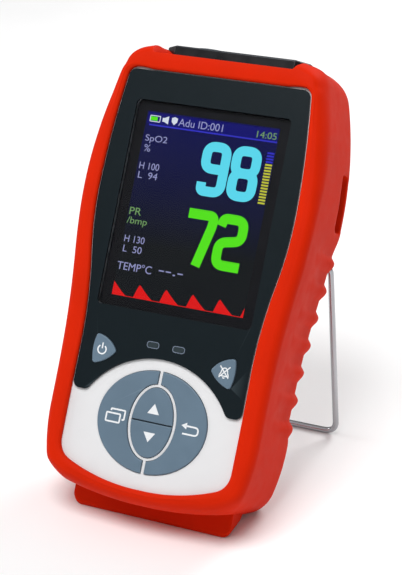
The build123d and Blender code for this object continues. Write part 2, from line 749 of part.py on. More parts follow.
with BuildPart() as spo2_contacts:
    with BuildSketch(Plane.XY.offset(SOCKET_FLOOR - CONTACT_DEPTH + 0.02)):
        with Locations(Location((SPO2_X, SOCKET_Y, 0), (0, 0, SOCKET_TURN))):
            with PolarLocations(CONTACT_CIRCLE, SPO2_CONTACTS):
                Circle(CONTACT_RADIUS)
                Circle(CONTACT_RADIUS / 2, mode=Mode.SUBTRACT)
    extrude(amount=CONTACT_DEPTH - 0.05)

# ---- Data port in the right side, behind the slot in the boot
with BuildPart() as data_port:
    with BuildSketch(side(28.2)):
        with Locations((SLOT_Y, SLOT_Z)):
            RectangleRounded(3.8, 8.4, 0.6)
    extrude(amount=6.4)
    with BuildSketch(side(29.2)):
        with Locations((SLOT_Y, SLOT_Z)):
            RectangleRounded(3.0, 7.6, 0.4)
    extrude(amount=10, mode=Mode.SUBTRACT)
    with BuildSketch(side(28.2)):
        with Locations((SLOT_Y, SLOT_Z)):
            Rectangle(0.7, 5.6)
    extrude(amount=5.6)

# ---- Case screws, in from the back
with BuildPart() as case_screws:
    for place in CASE_BOSSES:
        with BuildSketch(front(CASE_BACK - 0.1)):
            with Locations(place):
                Circle(2.15)
        extrude(amount=1.4)
        with BuildSketch(front(CASE_BACK - 1)):
            with Locations(place):
                Circle(SCREW_RADIUS)
        extrude(amount=CASE_BACK - 1 - 4.0)
        with BuildSketch(front(CASE_BACK)):
            with Locations(place):
                Rectangle(2.4, 0.6)
                Rectangle(0.6, 2.4)
        extrude(amount=0.9, mode=Mode.SUBTRACT)

# ---- Bail: bent steel wire, open against its stop with its bar on the table
pivot_height = DISPLAY_HEIGHT - PIVOT_Y * sin(radians(LEAN)) + PIVOT_Z * cos(radians(LEAN))
bail_length = (pivot_height - WIRE_RADIUS) / cos(radians(OPEN_ANGLE - LEAN))
bar_y = PIVOT_Y + bail_length * sin(radians(OPEN_ANGLE))
bar_z = PIVOT_Z - bail_length * cos(radians(OPEN_ANGLE))
with BuildPart() as bail:
    with BuildLine() as wire:
        FilletPolyline(
            (-BAIL_STUB, PIVOT_Y, PIVOT_Z),
            (-BAIL_HALF, PIVOT_Y, PIVOT_Z),
            (-BAIL_HALF, bar_y, bar_z),
            (BAIL_HALF, bar_y, bar_z),
            (BAIL_HALF, PIVOT_Y, PIVOT_Z),
            (BAIL_STUB, PIVOT_Y, PIVOT_Z),
            radius=[2.4, 5.0, 5.0, 2.4],
        )
    with BuildSketch(Plane(origin=(-BAIL_STUB, PIVOT_Y, PIVOT_Z), z_dir=(-1, 0, 0))):
        Circle(WIRE_RADIUS)
    sweep()

# ---- Lean the pieces back, put the origin under them and write them
pieces = {
    "boot": boot,
    "front_case": front_case,
    "bezel": bezel,
    "display_window": display_window,
    "lcd_panel": lcd_panel,
    "backlight": backlight,
    "lcd_frame": lcd_frame,
    "power_key": power_key,
    "alarm_silence_key": alarm_silence_key,
    "menu_key": menu_key,
    "return_key": return_key,
    "up_key": up_key,
    "down_key": down_key,
    "keypad_mat": keypad_mat,
    "snap_domes": snap_domes,
    "light_pipes": light_pipes,
    "status_leds": status_leds,
    "main_board": main_board,
    "processor": processor,
    "board_chips": board_chips,
    "display_connector": display_connector,
    "board_screws": board_screws,
    "case_gasket": case_gasket,
    "rear_case": rear_case,
    "battery_door": battery_door,
    "battery_cells": battery_cells,
    "battery_contacts": battery_contacts,
    "speaker": speaker,
    "connector_block": connector_block,
    "spo2_socket": spo2_socket,
    "spo2_contacts": spo2_contacts,
    "temp_jack": temp_jack,
    "data_port": data_port,
    "case_screws": case_screws,
    "bail": bail,
}
lean_back = Location((0, 0, 0), (-LEAN, 0, 0))
leaning = boot.part.moved(lean_back).bounding_box()
middle_y = (leaning.min.Y + leaning.max.Y) / 2
stand = Location((0, -middle_y, DISPLAY_HEIGHT)) * lean_back
for label, name in pieces.items():
    name.part.label = label
    name.part.move(stand)
    export_step(name.part, f"parts/{label}.step")
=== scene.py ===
import json
import math

import bmesh
import bpy
import numpy as np
from mathutils import Matrix, Vector

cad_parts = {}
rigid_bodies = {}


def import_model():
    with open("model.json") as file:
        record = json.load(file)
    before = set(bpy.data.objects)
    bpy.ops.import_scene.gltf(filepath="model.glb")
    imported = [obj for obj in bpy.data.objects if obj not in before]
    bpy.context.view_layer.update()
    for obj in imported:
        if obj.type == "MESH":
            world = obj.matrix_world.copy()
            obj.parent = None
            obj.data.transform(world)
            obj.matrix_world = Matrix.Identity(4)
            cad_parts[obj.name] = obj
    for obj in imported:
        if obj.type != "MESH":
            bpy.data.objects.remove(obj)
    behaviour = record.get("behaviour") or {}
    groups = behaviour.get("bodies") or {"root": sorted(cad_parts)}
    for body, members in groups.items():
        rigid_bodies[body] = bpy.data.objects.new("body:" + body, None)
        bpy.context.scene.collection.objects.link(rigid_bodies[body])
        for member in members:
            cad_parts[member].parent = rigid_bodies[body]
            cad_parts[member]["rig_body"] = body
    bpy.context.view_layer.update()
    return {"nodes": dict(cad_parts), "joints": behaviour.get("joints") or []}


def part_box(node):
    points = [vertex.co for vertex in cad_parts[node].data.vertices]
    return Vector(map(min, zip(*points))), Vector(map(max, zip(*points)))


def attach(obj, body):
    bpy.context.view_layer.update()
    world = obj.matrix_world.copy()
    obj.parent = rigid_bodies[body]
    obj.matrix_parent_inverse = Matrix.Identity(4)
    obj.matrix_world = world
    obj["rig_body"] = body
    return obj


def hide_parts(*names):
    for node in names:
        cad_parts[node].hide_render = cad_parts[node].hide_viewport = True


# Looks of a handheld patient monitor in a rubber boot. Shapes are drawn in millimetres in the
# device's own axes, from the middle of its display: X to the right, Y into the device, Z along
# it towards the top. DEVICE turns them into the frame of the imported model.

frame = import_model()
nodes = frame["nodes"]
joints = {joint["name"]: joint for joint in frame["joints"]}

MM = 0.001
ACROSS = Vector((1, 0, 0))
INTO = Vector(joints["power_press"]["axis"]).normalized()
ALONG = ACROSS.cross(INTO)
WINDOW_MIDDLE = -0.18  # depth of the middle of the window
window_low, window_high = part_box("display_window")
ORIGIN = (window_low + window_high) / 2 - INTO * WINDOW_MIDDLE * MM
AXES = Matrix((ACROSS, INTO, ALONG)).transposed().to_4x4()
DEVICE = Matrix.Translation(ORIGIN) @ AXES @ Matrix.Scale(MM, 4)
TO_DEVICE = DEVICE.inverted()
SIN_LEAN, COS_LEAN = -INTO.z, INTO.y

# ---- Depths of the faces that the pieces share
LIP_FRONT = -2.2
BEZEL_FRONT = -1.4
PANEL_FRONT = -0.6
SCREEN_FRONT = 0.27
CASE_BACK = 29.4
BOOT_BACK = 32.5
LIP_SEAT = PANEL_FRONT - 0.08
BOOT_SEAT = CASE_BACK + 0.1

# ---- Boot; its outline and its opening are chains of tangent arcs, from the top to the right
BOOT_WALL = 3.0
BOOT_START = (21.8, 51.6)
BOOT_JOINS = (
    (32.8, 43.4), (38.0, 5.0), (36.4, -18.0), (34.4, -47.0),
    (34.3, -64.0), (32.6, -79.0), (24.5, -87.0), (0, -89.58),
)
OPENING_START = (27.1, 42.0)
OPENING_JOINS = (
    (30.4, 39.1), (32.8, 5.0), (30.9, -17.5), (28.5, -46.0),
    (28.5, -74.3), (24.2, -80.65), (0, -85.2),
)
FINE_FROM, FINE_TO, FINE_STEP, COARSE_STEP = -63, 25, 0.42, 0.85  # points along the outline
LIP_EDGE = 1.0  # radius of the inner edge of the lip
LIP_CROWN = 0.15
LIP_OVERHANG = 0.6  # past the opening, over the gap round the bezel
FACING_END = (0.35, 0.9)  # where the outline turns from a side to an end, as a part of its normal
FACING_SIDE = (0.8, 0.97)
UPPER_PART = (-5, 38)  # heights over which the upper part takes over from the grip
BACK_ROUND = 6.0
BACK_START = BOOT_BACK - BACK_ROUND
WINDOW_ROUND = 0.8
RIB_COUNT = 7
RIB_TOP, RIB_PITCH = -6.3, 8.65
RIB_ABOVE, RIB_BELOW = 2.1, 3.2  # half heights above and below the crest
RIB_HEIGHT = 1.45
RIB_SHARPNESS = 1.3
RIB_START, RIB_FULL = 9.0, 24.0  # depths between which a rib rises
GRIP_RECESS = 1.0  # the sides between the ribs lie back from the outline
GRIP_LOW, GRIP_HIGH = (-64, -56), (-5, 3)  # heights over which the recess fades in and out
GRIP_DEPTHS = (4, 22)
SLOT_Y, SLOT_Z, SLOT_WIDTH, SLOT_LENGTH, SLOT_CORNER = 24.4, 12.0, 7.0, 18.0, 2.4
SLOT_DIP, SLOT_DIP_REACH = 0.55, 1.1  # soft edge round the slot
BLOCK_HALF, BLOCK_FRONT, BLOCK_BACK, BLOCK_CHAMFER = 23.75, 7.1, 24.4, 4.0
GAP = 0.1
HOLLOW_START, HOLLOW_END = 46.5, 48.4  # height of its floor at the lip and at the connector block
HOLLOW_SIDE = (23.0, 24.2)  # its side walls, as distances from the middle
HOLLOW_WALL = 0.9
SHOULDER_DROP = 1.1  # of the boot beside the connector block
SHOULDER_SIDE, SHOULDER_BACK = (25, 31), (14, 24)
BACK_WINDOW = (54.0, 108.0, 6.0, -14.0)  # width, height, corner, middle
FOOT_HALF, FOOT_FRONT, FOOT_TOE, FOOT_BACK, FOOT_CORNER = 26.3, 12.6, 13.8, 21.0, 2.9
FOOT_TOP, FOOT_EDGE = -80, 0.8
BODY_CLEARANCE = 1.5  # of the boot above the table
LUG_WIDTH, LUG_LENGTH, LUG_CORNER = 65, 14, 2
WIRE_GROOVE_WIDTH, WIRE_GROOVE_LENGTH, WIRE_GROOVE_CORNER = 3.2, 7.0, 1.0
SLIVER = 0.002  # corners closer than this are one

# ---- Bail
PIVOT = TO_DEVICE @ Vector(joints["bail_fold"]["pos_m"])
WIRE = 1.0  # radius
WIRE_BEND = 4.6
WIRE_END = 26.5  # distance of the wire's ends from the middle

# ---- Face
PAD_CENTRE = -64.2
KEY_FACE = PANEL_FRONT - 0.5
SIDE_KEY_FACE = BEZEL_FRONT - 0.5
PRINT_DEPTH, PRINT_RISE = 0.08, 0.04
LED_X, LED_Z, LED_LENGTH, LED_WIDTH = 4.2, -41.4, 3.5, 1.5
ACTIVE_WIDTH, ACTIVE_HEIGHT = 43.2, 57.6
ELEMENT_PITCH = 0.24
FADE_FROM, FADE_TO = -12, 27  # heights over which the picture's ground turns blue
BORDER_WIDTH, BORDER_HEIGHT, BORDER_CORNER = 50.2, 63.6, 1.6


# ======== Helpers: numbers
def smooth(low, high, value):
    """0 below low, 1 above high, an S curve between."""
    part = np.clip((value - low) / (high - low), 0.0, 1.0)
    return part * part * (3 - 2 * part)


def table_z(depth, height=0.0):
    """Z of the point at this depth that stands this high above the table."""
    return (height - ORIGIN.z / MM + depth * SIN_LEAN) / COS_LEAN


def arc_chain(start, joins, step=0.05):
    """Outline of tangent arcs, from its straight top round its right side to its middle below."""
    here, heading = Vector(start), Vector((1.0, 0.0))
    count = int(start[0] / step)
    points = [Vector((start[0] * index / count, start[1])) for index in range(count + 1)]
    for join in joins:
        chord = Vector(join) - here
        normal = Vector((-heading.y, heading.x))
        radius = chord.length_squared / (2 * normal.dot(chord))
        centre = here + normal * radius
        turn = 2 * math.atan2(normal.dot(chord), heading.dot(chord))
        count = max(4, int(abs(turn * radius) / step))
        for index in range(1, count + 1):
            points.append(centre + Matrix.Rotation(turn * index / count, 2) @ (here - centre))
        here, heading = Vector(join), Matrix.Rotation(turn, 2) @ heading
    return np.array([tuple(point) for point in points])


def closed_loop(half):
    """A right half and its mirror image as one closed loop."""
    left = half[1:-1][::-1] * np.array([-1.0, 1.0])
    return np.vstack([half, left])


def respaced(half, step_at):
    """The same outline with points as far apart as step_at(z) says."""
    lengths = np.linalg.norm(np.diff(half, axis=0), axis=1)
    middles = (half[1:, 1] + half[:-1, 1]) / 2
    travel = np.concatenate([[0.0], np.cumsum(lengths / step_at(middles))])
    wanted = np.linspace(0.0, travel[-1], int(travel[-1]) + 1)
    return np.stack([np.interp(wanted, travel, half[:, axis]) for axis in (0, 1)], 1)


def loop_normals(loop):
    """Outward normals of a clockwise closed loop."""
    along = np.roll(loop, -1, 0) - np.roll(loop, 1, 0)
    along /= np.linalg.norm(along, axis=1)[:, None]
    return np.stack([-along[:, 1], along[:, 0]], 1)


def reach(points, directions, loop):
    """How far each point is from a closed loop along its direction."""
    start, span = loop, np.roll(loop, -1, 0) - loop
    found = np.full(len(points), np.inf)
    for index, (point, way) in enumerate(zip(points, directions)):
        cross = way[0] * span[:, 1] - way[1] * span[:, 0]
        offset = start - point
        travel = (offset[:, 0] * span[:, 1] - offset[:, 1] * span[:, 0]) / cross
        share = (offset[:, 0] * way[1] - offset[:, 1] * way[0]) / cross
        hits = travel[(share >= 0) & (share <= 1) & (travel > 0)]
        found[index] = hits.min() if len(hits) else 0.0
    return found


def rounded(points, radius, closed=False, steps=7):
    """Flat path through the points with its corners rounded."""
    points = [Vector(point) for point in points]
    count = len(points)
    path = [] if closed else [points[0]]
    for index in range(count) if closed else range(1, count - 1):
        corner = points[index]
        before = points[index - 1] - corner
        after = points[(index + 1) % count] - corner
        half = before.angle(after) / 2
        run = min(radius / math.tan(half), before.length * 0.49, after.length * 0.49)
        start, end = corner + before.normalized() * run, corner + after.normalized() * run
        for step in range(steps + 1):
            part = step / steps
            path.append(start * (1 - part) ** 2 + corner * 2 * part * (1 - part) + end * part ** 2)
    return path if closed else path + [points[-1]]


def ellipse(x, z, half_x, half_z, start=0.0, end=360.0, count=48):
    """Points along an ellipse, from one angle to another."""
    angles = [math.radians(start + (end - start) * index / count) for index in range(count + 1)]
    return [Vector((x + half_x * math.cos(angle), z + half_z * math.sin(angle))) for angle in angles]


def box_outline(width, height, corner, x=0.0, z=0.0):
    """Closed rectangle with round corners about a middle."""
    half_x, half_z = width / 2, height / 2
    signs = ((-1, -1), (1, -1), (1, 1), (-1, 1))
    return rounded([(x + right * half_x, z + up * half_z) for right, up in signs], corner, closed=True)


def ring_faces(count):
    """Faces between two closed loops of this many points, one after the other."""
    pairs = [(index, (index + 1) % count) for index in range(count)]
    return [(index, ahead, count + ahead, count + index) for index, ahead in pairs]


# ======== Helpers: meshes
def link(name, data):
    """A new object that shows this mesh, curve, light or camera."""
    piece = bpy.data.objects.new(name, data)
    bpy.context.scene.collection.objects.link(piece)
    return piece


def solid(name, verts, faces):
    """A new object from device coordinates in millimetres."""
    mesh = bpy.data.meshes.new(name)
    mesh.from_pydata([tuple(vert) for vert in verts], [], faces)
    mesh.validate()
    return link(name, mesh)


def applied(piece):
    """Makes the piece's modifiers part of its mesh."""
    graph = bpy.context.evaluated_depsgraph_get()
    mesh = bpy.data.meshes.new_from_object(piece.evaluated_get(graph))
    piece.modifiers.clear()
    piece.data = mesh
    return piece


def shape_of(curve):
    """The mesh of a curve or a text."""
    holder = link("holder", curve)
    graph = bpy.context.evaluated_depsgraph_get()
    mesh = bpy.data.meshes.new_from_object(holder.evaluated_get(graph))
    bpy.data.objects.remove(holder)
    return mesh


def combined(piece, tool, operation="DIFFERENCE", solver="MANIFOLD"):
    """Cuts the tool from the piece, or joins it on, and removes the tool."""
    modifier = piece.modifiers.new("combine", "BOOLEAN")
    modifier.operation, modifier.solver, modifier.object = operation, solver, tool
    applied(piece)
    bpy.data.objects.remove(tool)
    return piece


def prism(outline, low, high, axis):
    """Closed solid: an outline in the other two axes, from low to high along one axis."""
    order = {"x": (2, 0, 1), "y": (0, 2, 1), "z": (0, 1, 2)}[axis]
    count = len(outline)
    verts = []
    for level in (low, high):
        for point in outline:
            flat = (point[0], point[1], level)
            verts.append([flat[position] for position in order])
    faces = [tuple(range(count))[::-1], tuple(range(count, 2 * count)), *ring_faces(count)]
    return outward(solid("tool", verts, faces))


def outward(piece):
    """Turns all faces outwards."""
    build = bmesh.new()
    build.from_mesh(piece.data)
    bmesh.ops.recalc_face_normals(build, faces=build.faces)
    build.to_mesh(piece.data)
    build.free()
    return piece


def cleaned(piece, limit, straight=0.1):
    """Takes out doubled corners, and corners in the middle of a straight edge between two faces."""
    build = bmesh.new()
    build.from_mesh(piece.data)
    bmesh.ops.remove_doubles(build, verts=build.verts, dist=limit)
    bmesh.ops.dissolve_degenerate(build, edges=build.edges, dist=limit)
    two_edged = [vert for vert in build.verts if len(vert.link_edges) == 2]
    spare = [vert for vert in two_edged if vert.calc_edge_angle(1) < straight]
    bmesh.ops.dissolve_verts(build, verts=spare)
    build.to_mesh(piece.data)
    build.free()
    return piece


def shaded(mesh, material, sharp=35):
    """Gives a mesh its material and shades it smoothly up to an angle."""
    mesh.materials.clear()
    mesh.materials.append(material)
    mesh.shade_smooth()
    mesh.set_sharp_from_angle(angle=math.radians(sharp))


def finished(piece, body, material, sharp=35):
    """Gives the piece its material and body."""
    shaded(piece.data, material, sharp)
    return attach(piece, body)


def placed(piece, body, material, sharp=35):
    """Takes a piece from device millimetres into the frame and finishes it."""
    piece.data.transform(DEVICE)
    return finished(piece, body, material, sharp)


def band(points, width, closed=False):
    """Flat ribbon of even width along a path."""
    count = len(points)
    verts, faces = [], []
    for index, point in enumerate(points):
        before = points[index - 1] if closed or index else point
        after = points[(index + 1) % count] if closed or index < count - 1 else point
        side = (after - before).normalized().orthogonal() * width / 2
        verts += [point + side, point - side]
    for index in range(count if closed else count - 1):
        ahead = (index + 1) % count
        faces.append((2 * index, 2 * index + 1, 2 * ahead + 1, 2 * ahead))
    return verts, faces


def area(points):
    """Flat filled outline."""
    return list(points), [tuple(range(len(points)))]


def words(text, left, right, bottom, top):
    """Flat lettering that fills a box."""
    curve = bpy.data.curves.new("words", "FONT")
    curve.body = text
    mesh = shape_of(curve)
    spots = np.array([vert.co[:2] for vert in mesh.vertices])
    low, high = spots.min(0), spots.max(0)
    spots = (spots - low) / (high - low) * (right - left, top - bottom) + (left, bottom)
    faces = [tuple(face.vertices) for face in mesh.polygons]
    return [Vector(spot) for spot in spots], faces


def inlay(name, shapes, front, depth, body, material):
    """Thin raised print: flat shapes facing the viewer, given a little thickness."""
    build = bmesh.new()
    for verts, faces in shapes:
        made = [build.verts.new((vert[0], front, vert[1])) for vert in verts]
        for face in faces:
            build.faces.new([made[index] for index in face])
    bmesh.ops.remove_doubles(build, verts=build.verts, dist=1e-4)
    bmesh.ops.recalc_face_normals(build, faces=build.faces)
    grown = bmesh.ops.extrude_face_region(build, geom=list(build.faces))
    moved = [item for item in grown["geom"] if isinstance(item, bmesh.types.BMVert)]
    bmesh.ops.translate(build, verts=moved, vec=(0, depth, 0))
    bmesh.ops.recalc_face_normals(build, faces=build.faces)
    mesh = bpy.data.meshes.new(name)
    build.to_mesh(mesh)
    build.free()
    return placed(link(name, mesh), body, material)


def softened(node, width, material, segments=3):
    """A copy of a CAD node with its edges rounded by width, which stands for the node."""
    source = nodes[node]
    plain = bpy.data.meshes.new(node)
    corners = [vert.co for vert in source.data.vertices]
    plain.from_pydata(corners, [], [face.vertices for face in source.data.polygons])
    build = bmesh.new()
    build.from_mesh(plain)
    bmesh.ops.remove_doubles(build, verts=build.verts, dist=0.004 * MM)
    level, steep = math.radians(0.6), math.radians(40)
    bmesh.ops.dissolve_limit(build, angle_limit=level, verts=build.verts, edges=build.edges)
    between = [edge for edge in build.edges if len(edge.link_faces) == 2]
    sharp = [edge for edge in between if edge.calc_face_angle(0) > steep]
    bevel = bmesh.ops.bevel(
        build, geom=sharp, offset=width * MM, segments=segments, profile=0.5,
        affect="EDGES", clamp_overlap=True,
    )
    # a narrow ring keeps the shading of the flat faces flat
    flat = set(build.faces) - set(bevel["faces"])
    bmesh.ops.inset_region(
        build, faces=list(flat), thickness=0.03 * MM, use_even_offset=True, use_boundary=True,
    )
    mesh = bpy.data.meshes.new(node)
    build.to_mesh(mesh)
    build.free()
    piece = link(node + "_shell", mesh)
    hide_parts(node)
    return finished(piece, source["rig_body"], material, sharp=50)


# ======== Materials
class Shader:
    """A material's nodes, with short ways to add and join them."""

    def __init__(self, name):
        self.material = bpy.data.materials.new(name)
        self.material.use_nodes = True
        self.nodes = self.material.node_tree.nodes
        self.links = self.material.node_tree.links
        self.nodes.clear()
        self.output = self.nodes.new("ShaderNodeOutputMaterial")
        self.place = self.nodes.new("ShaderNodeTexCoord").outputs["Object"]

    def add(self, kind, **values):
        """A node of this kind, with its settings and inputs by name."""
        node = self.nodes.new(kind)
        for key, value in values.items():
            if hasattr(node, key):
                setattr(node, key, value)
            else:
                node.inputs[key.replace("_", " ")].default_value = value
        return node

    def noise(self, scale, detail=3.0, stretch=None):
        """Noise with this many features to the metre."""
        node = self.add("ShaderNodeTexNoise", Scale=scale, Detail=detail)
        vector = self.place
        if stretch:
            mapping = self.add("ShaderNodeMapping", Scale=stretch)
            self.links.new(vector, mapping.inputs["Vector"])
            vector = mapping.outputs["Vector"]
        self.links.new(vector, node.inputs["Vector"])
        return node.outputs["Fac"]

    def ranged(self, value, low, high, start=0.3, end=0.7):
        """The value, from start to end, as a number from low to high."""
        node = self.nodes.new("ShaderNodeMapRange")
        node.inputs["From Min"].default_value = start
        node.inputs["From Max"].default_value = end
        node.inputs["To Min"].default_value = low
        node.inputs["To Max"].default_value = high
        self.links.new(value, node.inputs["Value"])
        return node.outputs["Result"]

    def mixed(self, factor, first, second):
        """A colour between two; each is a colour or a socket."""
        node = self.nodes.new("ShaderNodeMix")
        node.data_type = "RGBA"
        self.links.new(factor, node.inputs["Factor"])
        for key, value in ((6, first), (7, second)):
            if isinstance(value, tuple):
                node.inputs[key].default_value = (*value, 1.0)
            else:
                self.links.new(value, node.inputs[key])
        return node.outputs[2]

    def along(self, axis, scale, function="SINE"):
        """A wave along an axis of the device, scale radians to the millimetre."""
        dot = self.nodes.new("ShaderNodeVectorMath")
        dot.operation = "DOT_PRODUCT"
        self.links.new(self.place, dot.inputs[0])
        dot.inputs[1].default_value = axis * scale / MM
        if function is None:
            return dot.outputs["Value"]
        wave = self.add("ShaderNodeMath", operation=function)
        self.links.new(dot.outputs["Value"], wave.inputs[0])
        return wave.outputs["Value"]

    def finish(self, socket):
        """The material, with this socket as its surface."""
        self.links.new(socket, self.output.inputs["Surface"])
        return self.material


def surface(
    name, color, roughness, metallic=0.0, mottle=0.06, blotch=70.0, grain=2600.0, grain_depth=0.02,
    swing=0.06, coat=0.0, edge_wear_and_highlight=None, stretch=None, specular=0.5, ior=1.5,
):
    """Moulded, painted or metal surface with blotches, grain, uneven gloss, and convex edges lightened
    as a painted highlight that is partly wear.

    mottle is how far the colour varies and swing how far the roughness does; blotch and grain
    count features to the metre, and grain_depth is in millimetres.
    """
    shader = Shader(name)
    bsdf = shader.add("ShaderNodeBsdfPrincipled", Metallic=metallic)
    bsdf.inputs["Specular IOR Level"].default_value = specular
    bsdf.inputs["Coat Weight"].default_value = coat
    bsdf.inputs["Coat Roughness"].default_value = 0.25
    bsdf.inputs["IOR"].default_value = ior
    dark = tuple(part * (1 - mottle) for part in color)
    light = tuple(min(1.0, part * (1 + mottle)) for part in color)
    tint = shader.mixed(shader.ranged(shader.noise(blotch, 4.0), 0, 1), dark, light)
    # convex edges are lightened towards the edge colour: a painted highlight along the edges, partly
    # wear
    if edge_wear_and_highlight:
        edge = shader.nodes.new("ShaderNodeNewGeometry").outputs["Pointiness"]
        tint = shader.mixed(shader.ranged(edge, 0, 0.5, 0.52, 0.62), tint, edge_wear_and_highlight)
    shader.links.new(tint, bsdf.inputs["Base Color"])
    fine = shader.noise(grain, 3.0, stretch)
    uneven = shader.ranged(shader.noise(blotch * 4, 3.0), roughness - swing, roughness + swing)
    shader.links.new(uneven, bsdf.inputs["Roughness"])
    bump = shader.add("ShaderNodeBump", Strength=1.0, Distance=grain_depth * MM)
    shader.links.new(fine, bump.inputs["Height"])
    shader.links.new(bump.outputs["Normal"], bsdf.inputs["Normal"])
    return shader.finish(bsdf.outputs["BSDF"])


def glow(name, color, strength=1.0, upper=None):
    """Lit picture elements of the display, with their fine grid, fading to upper at the top."""
    shader = Shader(name)
    turns = 2 * math.pi / ELEMENT_PITCH
    rows = shader.ranged(shader.along(ALONG, turns), 0.86, 1.0, -1, 1)
    columns = shader.ranged(shader.along(ACROSS, turns), 0.9, 1.0, -1, 1)
    grid = shader.add("ShaderNodeMath", operation="MULTIPLY")
    shader.links.new(rows, grid.inputs[0])
    shader.links.new(columns, grid.inputs[1])
    lit = color
    if upper:
        height = shader.along(ALONG, 1.0, None)
        level = ALONG.dot(ORIGIN) / MM
        fade = shader.ranged(height, 0, 1, level + FADE_FROM, level + FADE_TO)
        lit = shader.mixed(fade, lit, upper)
    tint = shader.mixed(grid.outputs["Value"], (0.0, 0.0, 0.0), lit)
    emission = shader.add("ShaderNodeEmission", Strength=strength)
    shader.links.new(tint, emission.inputs["Color"])
    return shader.finish(emission.outputs["Emission"])


def clear(name, tint, gloss):
    """Thin clear plastic or glass: see-through, with a faint reflection."""
    shader = Shader(name)
    through = shader.add("ShaderNodeBsdfTransparent", Color=(*tint, 1.0))
    shine = shader.add("ShaderNodeBsdfGlossy", Roughness=0.06)
    facing = shader.add("ShaderNodeFresnel", IOR=1.45)
    smudge = shader.ranged(shader.noise(45.0, 4.0), 0.6 * gloss, 1.2 * gloss)
    amount = shader.add("ShaderNodeMath", operation="MULTIPLY")
    shader.links.new(facing.outputs["Fac"], amount.inputs[0])
    shader.links.new(smudge, amount.inputs[1])
    mix = shader.nodes.new("ShaderNodeMixShader")
    shader.links.new(amount.outputs["Value"], mix.inputs["Fac"])
    shader.links.new(through.outputs["BSDF"], mix.inputs[1])
    shader.links.new(shine.outputs["BSDF"], mix.inputs[2])
    return shader.finish(mix.outputs["Shader"])


# the edge colours given below are painted highlights along the edges, partly wear
RED = surface(
    "boot_rubber", (0.62, 0.018, 0.0015), 0.55, mottle=0.04, grain=1900, grain_depth=0.02,
    swing=0.05, edge_wear_and_highlight=(0.64, 0.03, 0.005), ior=1.12,
)
WHITE = surface("white_plastic", (0.74, 0.74, 0.75), 0.42, mottle=0.015, grain=3200, grain_depth=0.012)
BEZEL = surface(
    "bezel_plastic", (0.004, 0.009, 0.012), 0.30, mottle=0.04, blotch=200, grain=3600, grain_depth=0.006,
    swing=0.02, edge_wear_and_highlight=(0.05, 0.07, 0.08), specular=0.22,
)
KEY = surface(
    "key_rubber", (0.105, 0.165, 0.225), 0.5, mottle=0.06, grain=2800, grain_depth=0.015,
    edge_wear_and_highlight=(0.2, 0.27, 0.33),
)
PRINT = surface("white_print", (0.80, 0.82, 0.84), 0.4, mottle=0.02, grain=4000, grain_depth=0.006)
MASK = surface(
    "window_mask", (0.003, 0.003, 0.005), 0.35, mottle=0.2, grain=3000, grain_depth=0.004, specular=0.15,
)
BLACK = surface(
    "black_plastic", (0.005, 0.006, 0.008), 0.33, mottle=0.15, grain=3000, grain_depth=0.01,
    edge_wear_and_highlight=(0.10, 0.12, 0.14), specular=0.25,
)
GREY = surface("grey_plastic", (0.10, 0.11, 0.13), 0.4, mottle=0.08, grain=3000, edge_wear_and_highlight=(0.2, 0.21, 0.23))
RIM = surface("light_rim", (0.16, 0.20, 0.27), 0.4, mottle=0.08, grain=3000)
MAT = surface("mat_rubber", (0.20, 0.21, 0.22), 0.6, mottle=0.08)
STEEL = surface(
    "bright_steel", (0.40, 0.40, 0.42), 0.18, metallic=1.0, mottle=0.08, grain=900, grain_depth=0.01,
    stretch=(1.0, 1.0, 0.08), swing=0.08,
)
SHEET = surface(
    "plain_sheet", (0.60, 0.60, 0.62), 0.35, metallic=1.0, grain=1500, stretch=(0.1, 1.0, 1.0),
)
BRASS = surface("plated_contact", (0.70, 0.55, 0.25), 0.25, metallic=1.0, grain=2000)
BOARD = surface("solder_mask", (0.01, 0.10, 0.04), 0.3, mottle=0.2, blotch=400, grain=1200)
WRAP = surface("cell_wrap", (0.03, 0.06, 0.14), 0.25, mottle=0.2, blotch=150, grain=1500, coat=0.3)
GLASS = clear("window_clear", (0.96, 0.97, 0.98), 0.3)

SCREEN_DARK = glow("screen_dark", (0.010, 0.012, 0.014), 1.0, upper=(0.009, 0.010, 0.085))
SCREEN_BLUE = glow("screen_blue", (0.010, 0.010, 0.17))
SCREEN_LINE = glow("screen_line", (0.04, 0.04, 0.62))
SCREEN_CYAN = glow("screen_cyan", (0.13, 0.82, 1.0))
SCREEN_GREEN = glow("screen_green", (0.11, 0.90, 0.015))
SCREEN_LILAC = glow("screen_lilac", (0.36, 0.37, 0.66))
SCREEN_PALE = glow("screen_pale", (0.80, 0.85, 0.95))
SCREEN_MOSS = glow("screen_moss", (0.20, 0.38, 0.14))
SCREEN_YELLOW = glow("screen_yellow", (0.62, 0.62, 0.05))
SCREEN_RED = glow("screen_red", (0.85, 0.012, 0.012))


# ======== Boot
def rib_profile(z):
    """1 on the crest of a rib, 0 between ribs: steep above the crest, drawn out below it."""
    nearest = np.clip(np.round((RIB_TOP - z) / RIB_PITCH - 0.08), 0, RIB_COUNT - 1)
    away = z - (RIB_TOP - nearest * RIB_PITCH)
    away = np.where(away > 0, away / RIB_ABOVE, away / RIB_BELOW)
    return np.cos(np.pi / 2 * np.clip(away, -1, 1)) ** RIB_SHARPNESS


